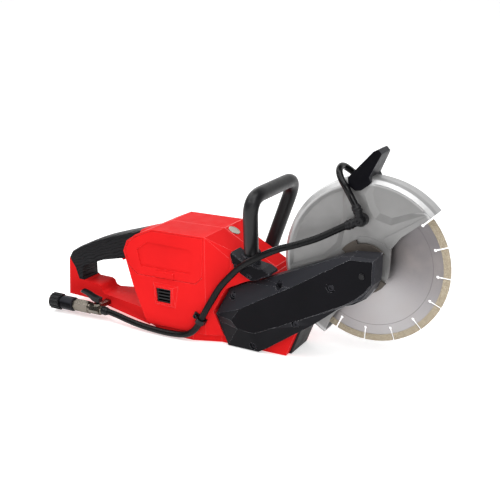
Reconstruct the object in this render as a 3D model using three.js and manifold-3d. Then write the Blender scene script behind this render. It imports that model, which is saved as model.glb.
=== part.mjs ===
// Cordless rescue cut-off saw with a 230 mm diamond blade, belt-drive arm, wet-cutting hose and two handles.
// Millimetres. +X points forward to the blade, +Y to the saw's left side, +Z up.
// Every piece is drawn about the spindle axis (the line X = 0, Z = 0, along Y, with the blade at Y = 0).
// The outer group then lifts the saw so that its sole lies on Z = 0, centred under the origin.

import * as THREE from 'three';
import { mergeVertices } from 'three/addons/utils/BufferGeometryUtils.js';
import Module from 'manifold-3d';

const wasm = await Module();
wasm.setup();

// ---- Driving dimensions -------------------------------------------------------------------------

const GAP = 0.3; // clearance between pieces that touch
const FAR_AWAY = 600; // size of a block that cuts everything on one side

const GROUND = -144; // the floor, below the spindle axis
const SOLE_CENTRE_X = -206;
const BASE_TOP = -131;

const BLADE_RADIUS = 115;
const BLADE_CORE_THICKNESS = 2;
const SEGMENT_THICKNESS = 2.8;
const SEGMENT_HEIGHT = 10;
const SEGMENT_COUNT = 16;
const KEYHOLE_CIRCLE = 97;
const KEYHOLE_RADIUS = 2.4;
const SLOT_WIDTH = 2.4;
const SLOT_PHASE = -2.5; // degrees, direction of the first slot
const ARBOR_RADIUS = 11;

const GUARD_RADIUS = 128;
const GUARD_HALF_WIDTH = 20.5;
const GUARD_WALL = 4;
const GUARD_RIM = 3;
const GUARD_REAR_ANGLE = 240.6; // degrees round from +X
const GUARD_FRONT_ANGLE = 43;
const HUB_BOSS_RADIUS = 22;

const NEAR = -65; // right side of the body
const FAR = 55; // left side of the body
const MID = -5; // split line of the two shells
const NOSE_NEAR = -50;
const NOSE_FAR = 40;
const BODY_WALL = 3.5;

const MOTOR_X = -180;
const MOTOR_Z = -98;
const MOTOR_PULLEY_RADIUS = 10;
const SPINDLE_PULLEY_RADIUS = 20;
const BELT_NEAR = -55.6;
const BELT_FAR = -46.4;
const BELT_THICKNESS = 2;

const ARM_FRAME_FAR = -26; // inner face of the arm casting
const ARM_SPLIT = -40; // where the cover meets the casting

const HANDLE_TUBE_RADIUS = 11.2;
const HOSE_RADIUS = 5;
const PIPE_RADIUS = 4.8;

const WATER_Y = -62; // axis of the water coupling and valve
const WATER_Z = -127;

const ROUND = 24; // sides of a round piece

// ---- Materials ----------------------------------------------------------------------------------

function finish(color, roughness, metalness = 0) {
  return () => new THREE.MeshStandardMaterial({ color, roughness, metalness });
}

const redPlastic = finish(0xd51c22, 0.38);
const blackPlastic = finish(0x1c1d20, 0.5);
const blackPaint = finish(0x232428, 0.42, 0.2);
const softGrip = finish(0x17181a, 0.8);
const rubber = finish(0x121214, 0.7);
const castMetal = finish(0xa5a6a6, 0.4, 0.7);
const steel = finish(0x9a9a9c, 0.28, 1);
const zincSteel = finish(0x6f7073, 0.4, 1);
const diamondRim = finish(0xaeb0b0, 0.3, 1);
const nickel = finish(0xb5b1a8, 0.22, 1);
const laminated = finish(0x5b5d60, 0.5, 0.8);
const circuitBoard = finish(0x1d4a2c, 0.5);

// ---- Solid modelling helpers --------------------------------------------------------------------

// A closed three.js geometry as a solid that can be joined and cut.
function solid(geometry) {
  const bare = geometry.clone();
  bare.deleteAttribute('normal');
  bare.deleteAttribute('uv');
  const merged = mergeVertices(bare, 1e-4);
  return new wasm.Manifold(new wasm.Mesh({
    numProp: 3,
    vertProperties: new Float32Array(merged.attributes.position.array),
    triVerts: new Uint32Array(merged.index.array),
  }));
}

// A solid back as a three.js geometry.
function shapeOf(body) {
  const mesh = body.getMesh();
  const geometry = new THREE.BufferGeometry();
  geometry.setAttribute('position', new THREE.BufferAttribute(mesh.vertProperties, 3));
  geometry.setIndex(new THREE.BufferAttribute(mesh.triVerts, 1));
  geometry.computeVertexNormals();
  return geometry;
}

function join(first, ...others) {
  return others.reduce((whole, piece) => whole.add(piece), first);
}

function cut(first, ...others) {
  return others.reduce((whole, piece) => whole.subtract(piece), first);
}

function common(first, ...others) {
  return others.reduce((whole, piece) => whole.intersect(piece), first);
}

function outline(points, holes = []) {
  const shape = new THREE.Shape(points.map(([x, y]) => new THREE.Vector2(x, y)));
  shape.holes = holes.map((hole) => new THREE.Path(hole.map(([x, y]) => new THREE.Vector2(x, y))));
  return shape;
}

// A side outline (X, Z) carried from one Y to another, its long edges rounded by `round` when given.
function plate(points, fromY, toY, { holes = [], round = 0, steps = 2 } = {}) {
  const geometry = new THREE.ExtrudeGeometry(outline(points, holes), {
    depth: toY - fromY - 2 * round,
    bevelEnabled: round > 0,
    bevelThickness: round,
    bevelSize: round,
    bevelOffset: -round,
    bevelSegments: steps,
  });
  geometry.rotateX(Math.PI / 2);
  geometry.translate(0, toY - round, 0);
  return solid(geometry);
}

// A plan outline (X, Y) carried from one Z to another.
function slab(points, fromZ, toZ) {
  const geometry = new THREE.ExtrudeGeometry(outline(points), { depth: toZ - fromZ, bevelEnabled: false });
  geometry.translate(0, 0, fromZ);
  return solid(geometry);
}

function block([x0, x1], [y0, y1], [z0, z1]) {
  const geometry = new THREE.BoxGeometry(x1 - x0, y1 - y0, z1 - z0);
  geometry.translate((x0 + x1) / 2, (y0 + y1) / 2, (z0 + z1) / 2);
  return solid(geometry);
}

// A round bar between two points.
function bar(radius, from, to, { sides = ROUND, endRadius = radius } = {}) {
  const start = new THREE.Vector3(...from);
  const end = new THREE.Vector3(...to);
  const along = end.clone().sub(start);
  const geometry = new THREE.CylinderGeometry(endRadius, radius, along.length(), sides);
  geometry.applyQuaternion(new THREE.Quaternion().setFromUnitVectors(
    new THREE.Vector3(0, 1, 0), along.clone().normalize()));
  geometry.translate((start.x + end.x) / 2, (start.y + end.y) / 2, (start.z + end.z) / 2);
  return solid(geometry);
}

// A round bar across the saw, along Y.
function cross(radius, x, z, fromY, toY, options) {
  return bar(radius, [x, fromY, z], [x, toY, z], options);
}

// A turned piece about the Y axis at (x, z): the profile lists [radius, y].
function turned(profile, x = 0, z = 0, sides = ROUND) {
  const geometry = new THREE.LatheGeometry(profile.map(([r, y]) => new THREE.Vector2(r, y)), sides);
  geometry.translate(x, 0, z);
  const body = solid(geometry);
  return body.volume() < 0 ? solid(flipped(geometry)) : body;
}

function flipped(geometry) {
  const copy = geometry.clone();
  const index = copy.index.array;
  for (let i = 0; i < index.length; i += 3) {
    [index[i], index[i + 1]] = [index[i + 1], index[i]];
  }
  return copy;
}

function ring(outer, inner, fromY, toY, x = 0, z = 0, sides = ROUND) {
  return turned([[inner, fromY], [inner, toY], [outer, toY], [outer, fromY], [inner, fromY]], x, z, sides);
}

// A cast shape between matching outlines, each a list of [x, y, z].
function loft(layers) {
  const count = layers[0].length;
  const positions = layers.flat(2);
  const index = [];
  const contour = layers[0].map(([x, , z]) => new THREE.Vector2(x, z));
  const last = (layers.length - 1) * count;
  for (const [a, second, third] of THREE.ShapeUtils.triangulateShape(contour, [])) {
    const sameWay = THREE.ShapeUtils.isClockWise([contour[a], contour[second], contour[third]])
      === THREE.ShapeUtils.isClockWise(contour);
    const [b, c] = sameWay ? [second, third] : [third, second];
    index.push(a, b, c);
    index.push(last + a, last + c, last + b);
  }
  for (let layer = 0; layer < layers.length - 1; layer += 1) {
    for (let i = 0; i < count; i += 1) {
      const a = layer * count + i;
      const b = layer * count + (i + 1) % count;
      index.push(a, a + count, b);
      index.push(b, a + count, b + count);
    }
  }
  const geometry = new THREE.BufferGeometry();
  geometry.setAttribute('position', new THREE.Float32BufferAttribute(positions, 3));
  geometry.setIndex(index);
  const body = solid(geometry);
  return body.volume() < 0 ? solid(flipped(geometry)) : body;
}

function polar(radius, degrees) {
  const angle = THREE.MathUtils.degToRad(degrees);
  return [radius * Math.cos(angle), radius * Math.sin(angle)];
}

function arc(radius, fromDegrees, toDegrees, steps) {
  return Array.from({ length: steps + 1 }, (_, i) =>
    polar(radius, fromDegrees + (toDegrees - fromDegrees) * i / steps));
}

// Straight runs joined by rounded corners: a path through `points` with bends of about `radius`.
function roundedPath(points, radius) {
  const path = new THREE.CurvePath();
  const corners = points.map((point) => new THREE.Vector3(...point));
  let from = corners[0];
  for (let i = 1; i < corners.length - 1; i += 1) {
    const before = corners[i].clone().add(corners[i - 1].clone().sub(corners[i]).setLength(radius));
    const after = corners[i].clone().add(corners[i + 1].clone().sub(corners[i]).setLength(radius));
    path.add(new THREE.LineCurve3(from, before));
    path.add(new THREE.QuadraticBezierCurve3(before, corners[i], after));
    from = after;
  }
  path.add(new THREE.LineCurve3(from, corners[corners.length - 1]));
  return path;
}

function tube(path, radius, sides, steps) {
  const section = outline(arc(radius, 0, 360 * (sides - 1) / sides, sides - 1));
  return solid(new THREE.ExtrudeGeometry(section, { steps, extrudePath: path, bevelEnabled: false }));
}

// A socket-head screw standing along Y: its head sits on the floor at `floorY`.
function socketScrew(x, z, floorY, { head = 4.2, socket = 2, shank = 2, length = 8 } = {}) {
  const top = floorY - 4.1;
  const body = join(
    cross(head, x, z, top, floorY - GAP, { sides: 14 }),
    cross(shank, x, z, floorY - 1, floorY + length, { sides: 8 }));
  return cut(body, cross(socket, x, z, top - 1, top + 2, { sides: 6 }));
}

function screwHole(x, z, floorY, length = 9) {
  return cross(2 + GAP, x, z, floorY - 1, floorY + length, { sides: 8 });
}

// ---- The assembly -------------------------------------------------------------------------------

const saw = new THREE.Group();
saw.position.set(-SOLE_CENTRE_X, 0, -GROUND);

function add(name, body, material, place = [0, 0, 0], parent = saw) {
  const mesh = new THREE.Mesh(shapeOf(body), material());
  mesh.name = name;
  mesh.position.set(...place);
  parent.add(mesh);
}

// ---- Body shells --------------------------------------------------------------------------------

const bodySide = [
  [-331, 23], [-235, 23], [-147, -25.3], [-144, -32], [-143.3, -44], [-142, -100], [-142, BASE_TOP + GAP],
  [-342, BASE_TOP + GAP], [-343, -128], [-366, -72], [-382, -18], [-375, -1], [-358, 11],
];
const bodyPlan = [
  [-400, NEAR], [-235, NEAR], [-200.6, NOSE_NEAR], [-100, NOSE_NEAR],
  [-100, NOSE_FAR], [-200.6, NOSE_FAR], [-235, FAR], [-400, FAR],
];
const cavitySide = [
  [-330, 19.5], [-236, 19.5], [-150.5, -27.3], [-147.5, -34], [-146.8, -46], [-145.5, -100], [-145.5, -127],
  [-339, -127], [-362.3, -71], [-378, -18], [-372, -3.5], [-356, 7.5],
];
const cavityPlan = [
  [-400, NEAR + 8], [-228, NEAR + 8], [-204, NOSE_NEAR + BODY_WALL], [-100, NOSE_NEAR + BODY_WALL],
  [-100, NOSE_FAR - BODY_WALL], [-204, NOSE_FAR - BODY_WALL], [-238, FAR - BODY_WALL], [-400, FAR - BODY_WALL],
];
// Where the arm lies against the body.
const armPocket = [
  [-100, -8], [-146, -29], [-175, -40], [-206.3, -55.5], [-224.3, -92], [-219.3, -106.3], [-202, -150],
  [-100, -150],
];
const armPocketWall = [
  [-100, -4], [-147, -25], [-177, -36], [-209.3, -53], [-228.3, -91.5], [-223.3, -107.5], [-206, -150],
  [-100, -150],
];
const sidePanel = [
  [-329.5, 20.5], [-238, 20.5], [-240.5, -40.5], [-252, -52], [-356.5, -52.5], [-371.5, -42],
  [-379, -18], [-372.8, -2.5], [-356.8, 8.5],
];
const ventOpening = [[-322, -68], [-295, -68], [-296, -91], [-320.5, -91]];
const ventBezel = [[-328, -61], [-283, -61.5], [-289, -97], [-325, -95.5]];
const ventBezelTop = [[-325, -65], [-292, -65], [-293, -94], [-323, -93.5]];

const BATTERY = { x: [-360, -252], y: [-34, 70], z: [-62, 2] };

function grown([low, high], by) {
  return [low - by, high + by];
}

function shrunk(points, cx, cz, by) {
  return points.map(([x, z]) => [x + Math.sign(cx - x) * by, z + Math.sign(cz - z) * by]);
}

function bodyOuter() {
  return cut(common(plate(bodySide, NEAR, FAR), slab(bodyPlan, -200, 100)), ...bevelBands(0));
}

// The slanting bands between the front slope and the walls beside it, `inset` below the outer skin.
function bevelBands(inset) {
  return [-1, 1].flatMap((side) => [
    bevelBand([-235, MID + side * 60, 23], [0.49, 0.863 * side, 0.121], [-235, -197.5], inset),
    bevelBand([-197.5, MID + side * 41.6, 2.4], [0.134, 0.962 * side, 0.244], [-197.5, 0], inset),
  ]);
}

// One band: the plane through `point` that faces along `facing`, over one stretch of X.
function bevelBand(point, facing, stretch, inset) {
  const normal = new THREE.Vector3(...facing).normalize();
  const geometry = new THREE.BoxGeometry(FAR_AWAY, FAR_AWAY, FAR_AWAY);
  geometry.translate(0, 0, FAR_AWAY / 2 - inset);
  geometry.applyQuaternion(new THREE.Quaternion().setFromUnitVectors(new THREE.Vector3(0, 0, 1), normal));
  geometry.translate(...point);
  return common(solid(geometry), block(stretch, [-200, 200], [-200, 200]));
}

function bodyShell() {
  const cavity = cut(
    common(plate(cavitySide, NEAR + 8, FAR - BODY_WALL), slab(cavityPlan, -200, 100)),
    ...bevelBands(BODY_WALL),
    plate(armPocketWall, -100, ARM_FRAME_FAR + GAP + 3.5));
  const shell = cut(bodyOuter(), cavity, plate(armPocket, -100, ARM_FRAME_FAR + GAP));
  const bearingBoss = cut(
    cross(13, MOTOR_X, MOTOR_Z, 22.5, NOSE_FAR - 1),
    cross(9 + GAP, MOTOR_X, MOTOR_Z, 22, 31.5));
  return cut(
    join(shell, bearingBoss),
    cross(16, MOTOR_X, MOTOR_Z, -40, 0),
    block(grown(BATTERY.x, GAP + 0.3), [20, 90], grown(BATTERY.z, GAP + 0.3)));
}

function rightShell(shell) {
  const panelSeat = plate(shrunk(sidePanel, -305, -16, -GAP), NEAR - 10, NEAR + 4.7 + GAP);
  const bezel = loft([
    ventBezel.map(([x, z]) => [x, NEAR + 1, z]),
    ventBezel.map(([x, z]) => [x, NEAR, z]),
    ventBezelTop.map(([x, z]) => [x, NEAR - 2.6, z]),
  ]);
  const half = cut(common(shell, block([-500, 0], [-100, MID - GAP / 2], [-200, 100])), panelSeat);
  return cut(
    join(half, bezel),
    plate(ventOpening, -100, NEAR + 20),
    screwHole(CLIP_SCREW.x, CLIP_SCREW.z, NEAR),
    ...BRACKET_SCREWS.map(([x, z]) => screwHole(x, z, BRACKET_FLOOR)));
}

function leftShell(shell) {
  return common(shell, block([-500, 0], [MID + GAP / 2, 100], [-200, 100]));
}

const BRACKET_SCREWS = [[-187, -16.5], [-165.5, -28.5]];
const BRACKET_FLOOR = -53.2; // the floor under their heads
const CLIP_SCREW = { x: -250, z: -101.5 };

const shell = bodyShell();
add('right_body_shell', rightShell(shell), redPlastic);
add('left_body_shell', leftShell(shell), redPlastic);

function sideCover() {
  const panel = plate(sidePanel, NEAR, NEAR + 4.7, { round: 0.8, steps: 1 });
  const recess = plate([[-337, 2], [-262, 0], [-257, -5], [-261, -38], [-350, -38], [-357, -12]],
    NEAR - 5, NEAR + 1.8);
  const thumbTab = loft([
    [[-322, NEAR + 2, -40], [-289, NEAR + 2, -40], [-289, NEAR + 2, -52], [-322, NEAR + 2, -52]],
    [[-321, NEAR - 2.4, -42], [-290, NEAR - 2.4, -42], [-290, NEAR - 2.4, -51], [-321, NEAR - 2.4, -51]],
  ]);
  return join(cut(panel, recess), thumbTab);
}
add('side_cover', sideCover(), redPlastic);

function ventGrille() {
  const frame = plate(shrunk(ventOpening, -308, -79, GAP), NEAR - 0.6, NEAR + 7);
  const slots = [0, 1, 2, 3].map((i) => {
    const top = -70.4 - 5.2 * i;
    return block([-318.5, -297.5], [-100, 0], [top - 2.9, top]);
  });
  return cut(frame, ...slots);
}
add('side_vent_grille', ventGrille(), blackPlastic);

// ---- Base and front foot ------------------------------------------------------------------------

function baseFoot() {
  const tray = common(
    slab([[-342, -62], [-258, -64], [-216, -49.5], [-111, -50.5], [-111, 13], [-140, 13], [-146, 50], [-342, 50]],
      GROUND, BASE_TOP),
    plate([[-342, BASE_TOP], [-301, GROUND], [-111, GROUND], [-111, BASE_TOP]], -100, 100));
  const armLine = plate([
    [-204, -146], [-204, -140.5], [-210, -129], [-210, -90], [-80, -90], [-80, -96.6], [-136.5, -137.5],
    [-147.5, -143.5], [-149, -146],
  ], -100, ARM_FRAME_FAR + GAP);
  const nose = plate([[-141.5, -132], [-141.5, -92.5], [-92, -92.5], [-92, -105], [-107.2, -143.9], [-135, -143.9]],
    -50.5, 13);
  return cut(join(tray, nose), armLine, plate(bodySide.map(([x, z]) => [x + GAP, z]), -100, 100));
}
add('base_foot', baseFoot(), redPlastic);

function frontBumper() {
  const strip = plate([[-106.9, -143.6], [-103, -143.6], [-88, -105], [-89.5, -95], [-91.7, -92.8], [-91.7, -105]],
    -41, 13.5);
  return cut(strip, plate([[-100, -111], [-80, -97], [-80, -80], [-100, -80]], -100, ARM_FRAME_FAR + 1));
}
add('front_bumper', frontBumper(), rubber);

// ---- Belt-drive arm -----------------------------------------------------------------------------

const armFrameSide = [
  [-205, -58], [-175, -43.5], [-146, -32.5], [-95, -10.5], [-22, 21.2], [-11.4, 25.4], [26.3, 27.9], [26.3, -7], [21, -23],
  [10, -38], [-8, -50], [-24, -56], [-40, -68], [-63, -85], [-86, -100], [-137, -137], [-148, -142.5],
  [-200, -142.5], [-207, -130], [-218, -106], [-223, -92],
];
const coverBase = [
  [-205, -58], [-223, -92], [-218, -106], [-201, -142.5], [-148, -142.5], [-136, -135.5], [-61, -83],
  [-24, -55], [12, -35], [21, -22], [30, -7], [30, 30], [-4, 29], [-21, 25], [-146, -32.5], [-175, -43.5],
];
const coverRim = [
  [-204.5, -44, -58], [-222, -56, -97], [-217, -56, -107], [-200, -58, -142.5], [-148, -60, -142.5],
  [-136, -60, -135.5], [-60, -62, -82], [-22, -62, -51], [11, -63, -32], [20, -63, -19], [28.5, -63, -6.5],
  [28.5, -64, 28.5], [-5, -64, 28], [-21, -60, 24.5], [-146, -44, -33], [-175, -44, -44],
];
const COVER_FACE = -68;
const coverFace = [
  [-177, -78], [-189, -98], [-179, -109], [-166, -110], [-151, -111], [-128, -100], [-78, -76],
  [-14, -43], [4, -31], [18, -17], [26, -6], [26, 25.5], [-6, 24], [-20, 15.5], [-95, -31], [-138, -55],
];
// Each cover screw: x, z and the depth of the floor that its head sits on.
const COVER_SCREWS = [
  [-115, -33, -50], [-33, -21, -62], [-86, -85, -60], [-195, -65, -46], [-156, -134, -54],
];
const LOCK_RADIUS = 12.5;
const LOCK_ANGLE = 16;
const [LOCK_X, LOCK_Z] = polar(LOCK_RADIUS, LOCK_ANGLE);

// The outline round both pulleys, `around` outside the small pulley and the large one.
function beltLoop(smallRadius, largeRadius, steps = 12) {
  const span = Math.hypot(MOTOR_X, MOTOR_Z);
  const heading = THREE.MathUtils.radToDeg(Math.atan2(-MOTOR_Z, -MOTOR_X));
  const lean = THREE.MathUtils.radToDeg(Math.acos((largeRadius - smallRadius) / span));
  const front = arc(largeRadius, heading - 180 + lean, heading + 180 - lean, steps);
  const rear = arc(smallRadius, heading + 180 - lean, heading + 180 + lean, steps - 4)
    .map(([x, z]) => [x + MOTOR_X, z + MOTOR_Z]);
  return [...front, ...rear];
}

function armFrame() {
  const casting = join(
    plate(armFrameSide, ARM_SPLIT + GAP / 2, ARM_FRAME_FAR),
    cross(HUB_BOSS_RADIUS, 0, 0, -30, -14),
    cross(15.6, MOTOR_X, MOTOR_Z, -30, -20));
  return cut(
    casting,
    cross(16 + GAP, 0, 0, -42, -17),
    cross(9, 0, 0, -20, 0),
    cross(9 + GAP, MOTOR_X, MOTOR_Z, -42, -22),
    cross(5, MOTOR_X, MOTOR_Z, -25, 0),
    ...COVER_SCREWS.map(([x, z]) => cross(2 + GAP, x, z, -45, -32, { sides: 8 })));
}
add('arm_frame', armFrame(), blackPaint);

function beltCover() {
  const casting = loft([
    coverBase.map(([x, z]) => [x, ARM_SPLIT - GAP / 2, z]),
    coverRim,
    coverFace.map(([x, z]) => [x, COVER_FACE, z]),
  ]);
  const beltSpace = cut(
    plate(beltLoop(16, 24.5), -60.5, -30),
    cross(8, COVER_SCREWS[1][0], COVER_SCREWS[1][1], -70, -20));
  const wells = COVER_SCREWS.map(([x, z, floor]) => cross(5.9, x, z, -90, floor, { sides: 18 }));
  const holes = COVER_SCREWS.map(([x, z]) => cross(2 + GAP, x, z, -70, -30, { sides: 8 }));
  return cut(casting, beltSpace, ...wells, ...holes, cross(4.3, LOCK_X, LOCK_Z, -90, -50, { sides: 20 }));
}
add('belt_cover', beltCover(), blackPaint);

COVER_SCREWS.forEach(([x, z, floor], i) => {
  const reach = -34 - floor;
  add(`belt_cover_screw_${i + 1}`, socketScrew(x, z, floor, { head: 5, socket: 2.6, length: reach }), zincSteel);
});

function spindleLock() {
  return join(
    cross(4, LOCK_X, LOCK_Z, COVER_FACE - 1.5, COVER_FACE + 5, { sides: 20 }),
    cross(2.4, LOCK_X, LOCK_Z, COVER_FACE + 4, -58, { sides: 14 }));
}
add('spindle_lock_button', spindleLock(), blackPlastic);

function beltPulley(radius, bore, x, z, spokes = []) {
  const near = BELT_NEAR - GAP;
  const far = BELT_FAR + GAP;
  const wheel = turned([
    [bore, near - 1], [bore, far + 1], [radius + 1.4, far + 1], [radius + 1.4, far], [radius, far],
    [radius, near], [radius + 1.4, near], [radius + 1.4, near - 1], [bore, near - 1],
  ], x, z, 32);
  return cut(wheel, ...spokes);
}
const lockHoles = [0, 1, 2, 3].map((i) => {
  const [x, z] = polar(LOCK_RADIUS, LOCK_ANGLE + 90 * i);
  return cross(3, x, z, -70, -30, { sides: 14 });
});
add('spindle_pulley', beltPulley(SPINDLE_PULLEY_RADIUS, 7 + GAP, 0, 0, lockHoles), steel);
add('motor_pulley', beltPulley(MOTOR_PULLEY_RADIUS, 4 + GAP, MOTOR_X, MOTOR_Z), steel);

function driveBelt() {
  const inner = beltLoop(MOTOR_PULLEY_RADIUS + GAP, SPINDLE_PULLEY_RADIUS + GAP);
  const outer = beltLoop(
    MOTOR_PULLEY_RADIUS + GAP + BELT_THICKNESS, SPINDLE_PULLEY_RADIUS + GAP + BELT_THICKNESS);
  return plate(outer, BELT_NEAR, BELT_FAR, { holes: [inner.reverse()] });
}
add('drive_belt', driveBelt(), rubber);

// ---- Spindle, flanges and blade -----------------------------------------------------------------

add('spindle_bearing', ring(16, 8 + GAP, -38, -24), steel);
add('spindle_shaft', cut(
  turned([
    [0, -59], [7, -59], [7, -44], [8, -44], [8, -13], [ARBOR_RADIUS - GAP, -13], [ARBOR_RADIUS - GAP, 5], [0, 5],
  ]),
  cross(4.3, 0, 0, -10, 10, { sides: 16 })), steel);
add('inner_flange', ring(28, ARBOR_RADIUS, -5, -1.3), steel);
add('outer_flange', turned([
  [ARBOR_RADIUS, 1.3], [ARBOR_RADIUS, 5.3], [4.6, 5.3], [4.6, 7.5], [20, 7.5], [28, 5], [28, 1.3],
  [ARBOR_RADIUS, 1.3],
]), steel);
add('blade_bolt', join(
  cross(4, 0, 0, -8, 9, { sides: 16 }),
  cross(12, 0, 0, 7.8, 9.6),
  cross(9.5, 0, 0, 9.5, 16, { sides: 6 })), zincSteel);

function blade() {
  const coreRadius = BLADE_RADIUS - SEGMENT_HEIGHT;
  const core = cross(coreRadius + 1, 0, 0, -BLADE_CORE_THICKNESS / 2, BLADE_CORE_THICKNESS / 2, { sides: 64 });
  const rim = ring(BLADE_RADIUS, coreRadius, -SEGMENT_THICKNESS / 2, SEGMENT_THICKNESS / 2, 0, 0, 64);
  const cuts = Array.from({ length: SEGMENT_COUNT }, (_, i) => {
    const degrees = SLOT_PHASE + 360 * i / SEGMENT_COUNT;
    const [x, z] = polar(KEYHOLE_CIRCLE, degrees);
    const slot = block([KEYHOLE_CIRCLE, BLADE_RADIUS + 5], [-5, 5], [-SLOT_WIDTH / 2, SLOT_WIDTH / 2]);
    return join(slot.rotate([0, -degrees, 0]), cross(KEYHOLE_RADIUS, x, z, -5, 5, { sides: 8 }));
  });
  return cut(join(core, rim), cross(ARBOR_RADIUS, 0, 0, -5, 5), ...cuts);
}
add('diamond_blade', blade(), diamondRim);

// ---- Motor --------------------------------------------------------------------------------------

function stator() {
  const core = ring(29, 25, -15, 9, MOTOR_X, MOTOR_Z);
  const teeth = [0, 1, 2, 3, 4, 5].map((i) => {
    const tooth = block([15.4, 26], [-16, 10], [-4.5, 4.5]).rotate([0, -60 * i, 0]);
    return tooth.translate([MOTOR_X, 0, MOTOR_Z]);
  });
  return join(core, ...teeth);
}
add('motor_stator', stator(), laminated);
add('motor_shaft', cross(4, MOTOR_X, MOTOR_Z, -58.5, 29), steel);
add('motor_rotor', ring(14.6, 4 + GAP, -14, 8, MOTOR_X, MOTOR_Z), laminated);
add('front_motor_bearing', ring(9, 4 + GAP, -34, -23, MOTOR_X, MOTOR_Z, 20), steel);
add('rear_motor_bearing', ring(9, 4 + GAP, 23, 29, MOTOR_X, MOTOR_Z, 20), steel);

function coolingFan() {
  const hub = ring(12, 4 + GAP, 11, 20, MOTOR_X, MOTOR_Z);
  const disc = ring(27, 10, 11, 12.5, MOTOR_X, MOTOR_Z);
  const blades = Array.from({ length: 9 }, (_, i) =>
    block([11, 26.5], [12, 20], [-0.9, 0.9]).rotate([0, -40 * i, 0]).translate([MOTOR_X, 0, MOTOR_Z]));
  return join(hub, disc, ...blades);
}
add('cooling_fan', coolingFan(), blackPlastic);

// ---- Electronics and battery --------------------------------------------------------------------

add('control_board', join(
  block([-345, -255], [-50, 40], [-80, -77]),
  block([-335, -300], [-40, -5], [-78, -68]),
  block([-290, -265], [-30, 25], [-78, -70])), circuitBoard);
add('battery_terminal_block', join(
  block([-330, -282], [-46, -34.6], [-50, -12]),
  block([-325, -287], [-47, -40], [-60, -48])), blackPlastic);

function batteryPack() {
  const [x0, x1] = BATTERY.x;
  const [z0, z1] = BATTERY.z;
  const pack = plate([[x0, z0], [x1, z0], [x1, z1], [x0, z1]], BATTERY.y[0], BATTERY.y[1], { round: 3, steps: 1 });
  const grooves = [z0 + 14, z1 - 17].flatMap((z) => [
    block([x0 - 1, x0 + 3], [-40, 50], [z, z + 3]),
    block([x1 - 3, x1 + 1], [-40, 50], [z, z + 3]),
  ]);
  return cut(pack, ...grooves, block([-324, -288], [66, 80], [-20, -6]));
}
add('battery_pack', batteryPack(), blackPlastic);
add('battery_release_button', block([-323.5, -288.5], [66 + 3.5, 73.5], [-19.5, -6.5]), redPlastic);

// ---- Rear handle --------------------------------------------------------------------------------

// It runs on into the body, which it is then trimmed against.
const handleOutline = [
  [-335, 17], [-364, 9.5], [-391, 1], [-421, -8], [-452, -18], [-476, -27.5], [-501, -39.5], [-520, -51], [-527, -63],
  [-531, -129], [-335, -137],
];
const handGap = [
  [-497, -77], [-490, -70], [-466, -60.5], [-453, -55.5], [-438, -52], [-420, -48], [-392, -42], [-384, -52],
  [-357, -112.5], [-452, -113.5], [-458, -110], [-461, -102], [-466, -99.6], [-491, -99], [-497, -95],
];
// The stretch of the ring that the soft grip covers.
const gripZone = [
  [-381, 30], [-540, 30], [-540, -58], [-524, -60], [-512, -77], [-505, -97], [-480, -97], [-480, -74],
  [-440, -74], [-372, -66],
];
const gripCore = [
  [-370, -2], [-391, -8], [-421, -17], [-452, -27], [-480, -38], [-505, -52], [-517, -66], [-519, -98],
  [-508, -102], [-507, -78], [-498, -64], [-470, -50], [-455, -44], [-420, -37], [-392, -33], [-370, -28],
];
const triggerSlot = [[-431, -70], [-431, -35], [-411, -25], [-378, -25], [-372, -70]];
const HANDLE_HALF = 20;

function handleRing() {
  const holeless = plate(handleOutline, MID - HANDLE_HALF, MID + HANDLE_HALF, { round: 7, steps: 2 });
  const flare = common(
    slab([[-462, MID - 19.9], [-343, MID - 52], [-343, MID + 50], [-462, MID + 19.9]], -150, -100),
    plate(handleOutline, -100, 100));
  const opening = plate(handGap, -100, 100);
  return cut(join(holeless, flare), opening);
}

function bodyClearance() {
  return join(
    plate(bodySide.map(([x, z]) => [x - GAP, z]), -100, 100),
    block([-342 - GAP, -300], [-100, 100], [-150, -130]));
}

function handleFrame() {
  const whole = handleRing();
  const zone = plate(gripZone, -100, 100);
  const core = common(plate(gripCore, MID - 10, MID + 10), whole);
  const socket = block([-400, -386], [MID - 7, MID + 7], [-24.7, -15]);
  return cut(
    join(cut(whole, zone), core),
    bodyClearance(),
    plate(triggerSlot, MID - 7, MID + 7),
    socket);
}

function handleGrip() {
  const zone = plate(shrunk(gripZone, -450, -30, GAP), -100, 100);
  const coreClear = [[GAP, 0], [-GAP, 0], [0, GAP], [0, -GAP]].map(([dx, dz]) =>
    plate(gripCore.map(([x, z]) => [x + dx, z + dz]), MID - 10 - GAP, MID + 10 + GAP));
  const skin = cut(common(handleRing(), zone), bodyClearance());
  return cut(skin, ...coreClear, plate(triggerSlot, MID - 7, MID + 7));
}

const handle = handleFrame();
add('rear_handle_right', common(handle, block([-600, 0], [-200, MID - GAP / 2], [-300, 100])), redPlastic);
add('rear_handle_left', common(handle, block([-600, 0], [MID + GAP / 2, 200], [-300, 100])), redPlastic);
add('rear_grip', handleGrip(), softGrip);

const trigger = plate([
  [-381, -38], [-386, -32], [-408, -33], [-409, -46], [-406, -60], [-402, -66], [-396, -66], [-391, -56],
  [-385, -46],
], MID - 6, MID + 6, { round: 1.2, steps: 1 });
add('trigger', trigger, blackPlastic);
add('lock_off_lever', plate([
  [-411, -38], [-417, -37], [-427, -44], [-429, -52], [-424, -56], [-418, -51], [-413, -46],
], MID - 5, MID + 5, { round: 1, steps: 1 }), redPlastic);
add('trigger_switch', block([-399.5, -386.5], [MID - 6.5, MID + 6.5], [-24.5, -15.3]), blackPlastic);

// ---- Front handle -------------------------------------------------------------------------------

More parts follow.
